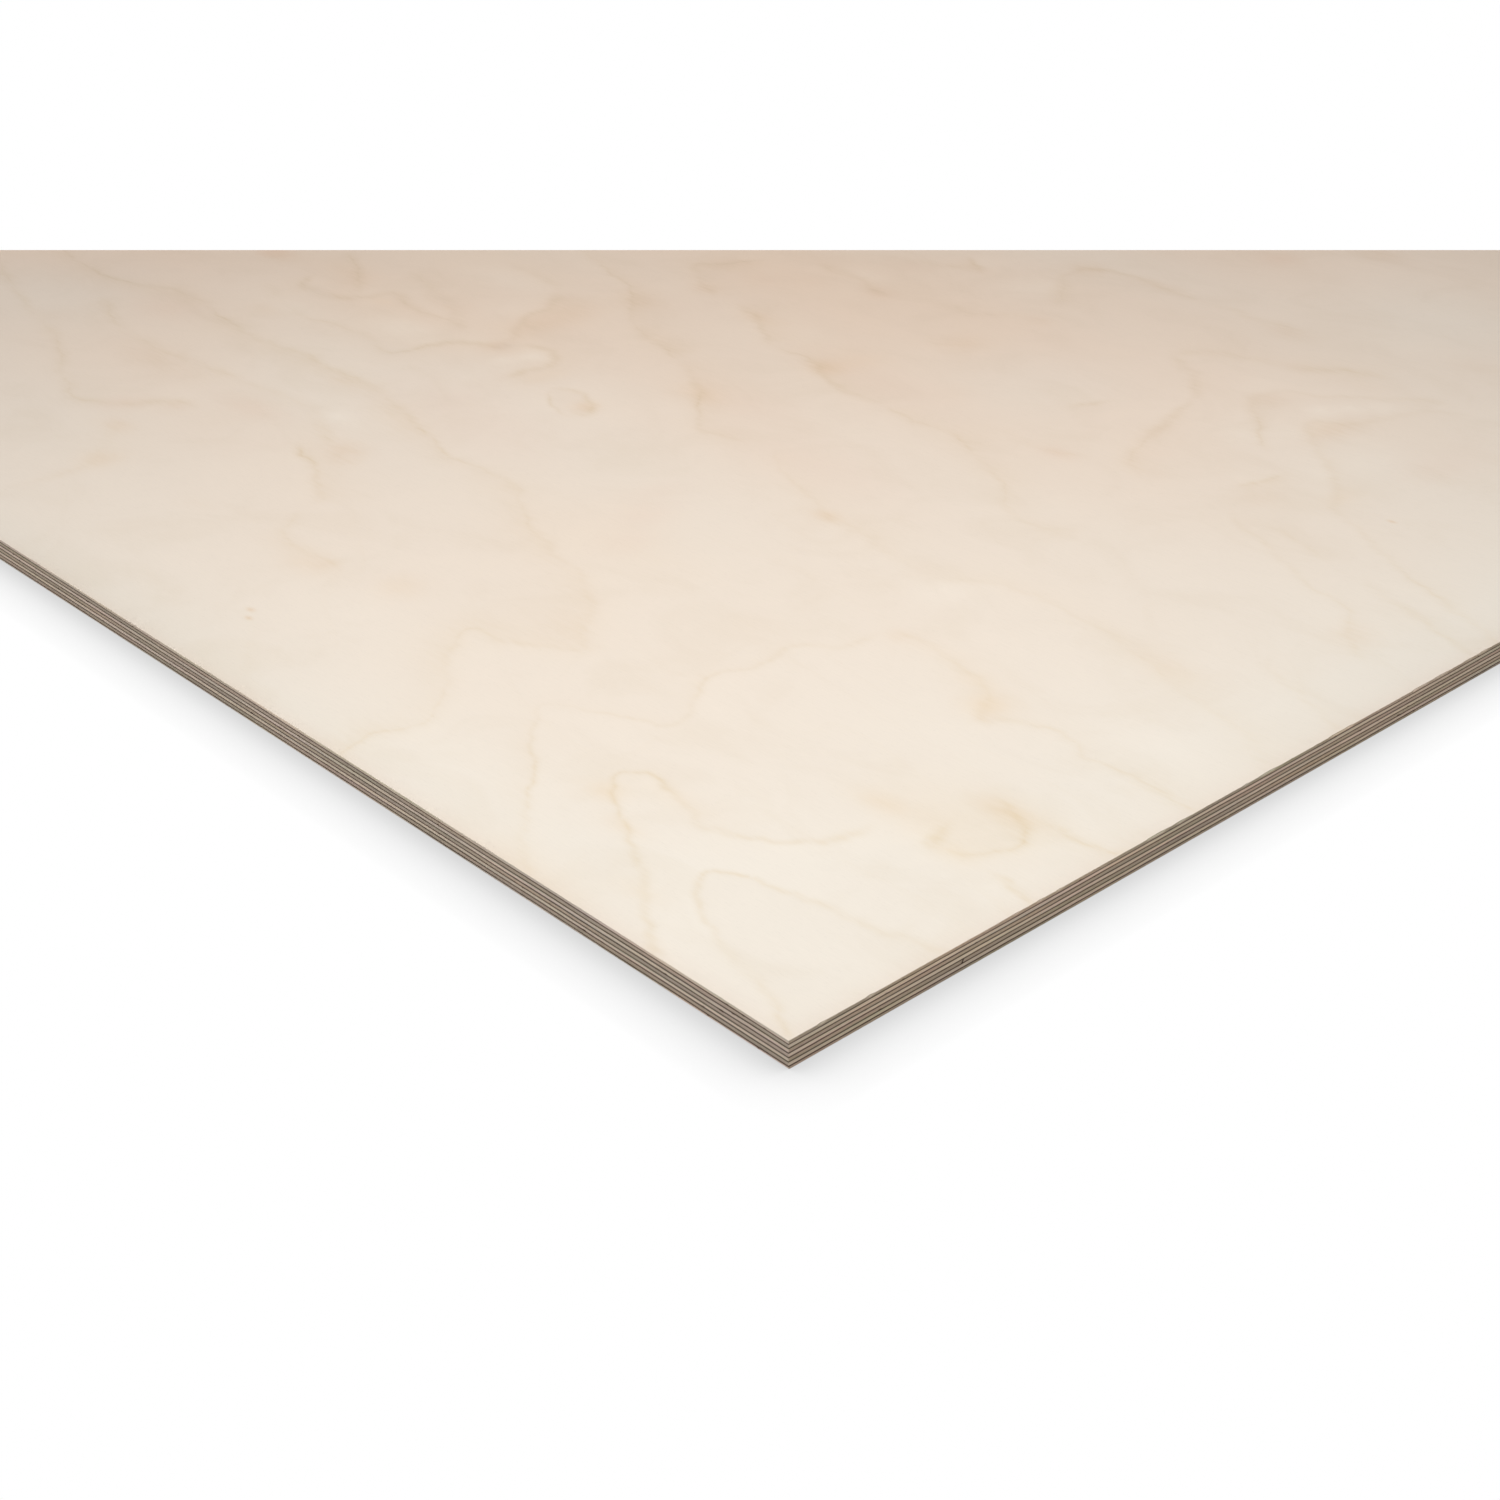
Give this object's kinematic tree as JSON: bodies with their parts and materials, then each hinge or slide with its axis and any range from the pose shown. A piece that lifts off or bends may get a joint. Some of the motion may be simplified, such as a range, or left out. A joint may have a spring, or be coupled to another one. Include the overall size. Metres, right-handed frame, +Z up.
{
  "type": "plywood sheet",
  "caption": "Full sheet of birch plywood with a sanded pale face, cross-laid veneers and dark glue lines along its sawn edges.",
  "frame": {"origin": "middle of the sheet's underside", "axes": "+X along the 2500 mm length and the face grain, +Y across the 1250 mm width, +Z up through the thickness to the face"},
  "size_m": [2.5, 1.25, 0.009],
  "materials": {
    "birch_long_grain": "sanded smooth, unfinished, matt",
    "birch_cross_grain": "sawn end grain, matt",
    "phenolic_glue": "dark brown cured resin, satin"
  },
  "bodies": {
    "root": {"face_veneer": "birch_long_grain", "cross_veneer_2": "birch_cross_grain", "long_veneer_3": "birch_long_grain", "cross_veneer_4": "birch_cross_grain", "long_veneer_5": "birch_long_grain", "long_veneer_5_strip": "birch_long_grain", "cross_veneer_6": "birch_cross_grain", "back_veneer": "birch_long_grain", "glue_line_1": "phenolic_glue", "glue_line_2": "phenolic_glue", "glue_line_3": "phenolic_glue", "glue_line_4": "phenolic_glue", "glue_line_5": "phenolic_glue", "glue_line_6": "phenolic_glue"}
  },
  "joints": []
}
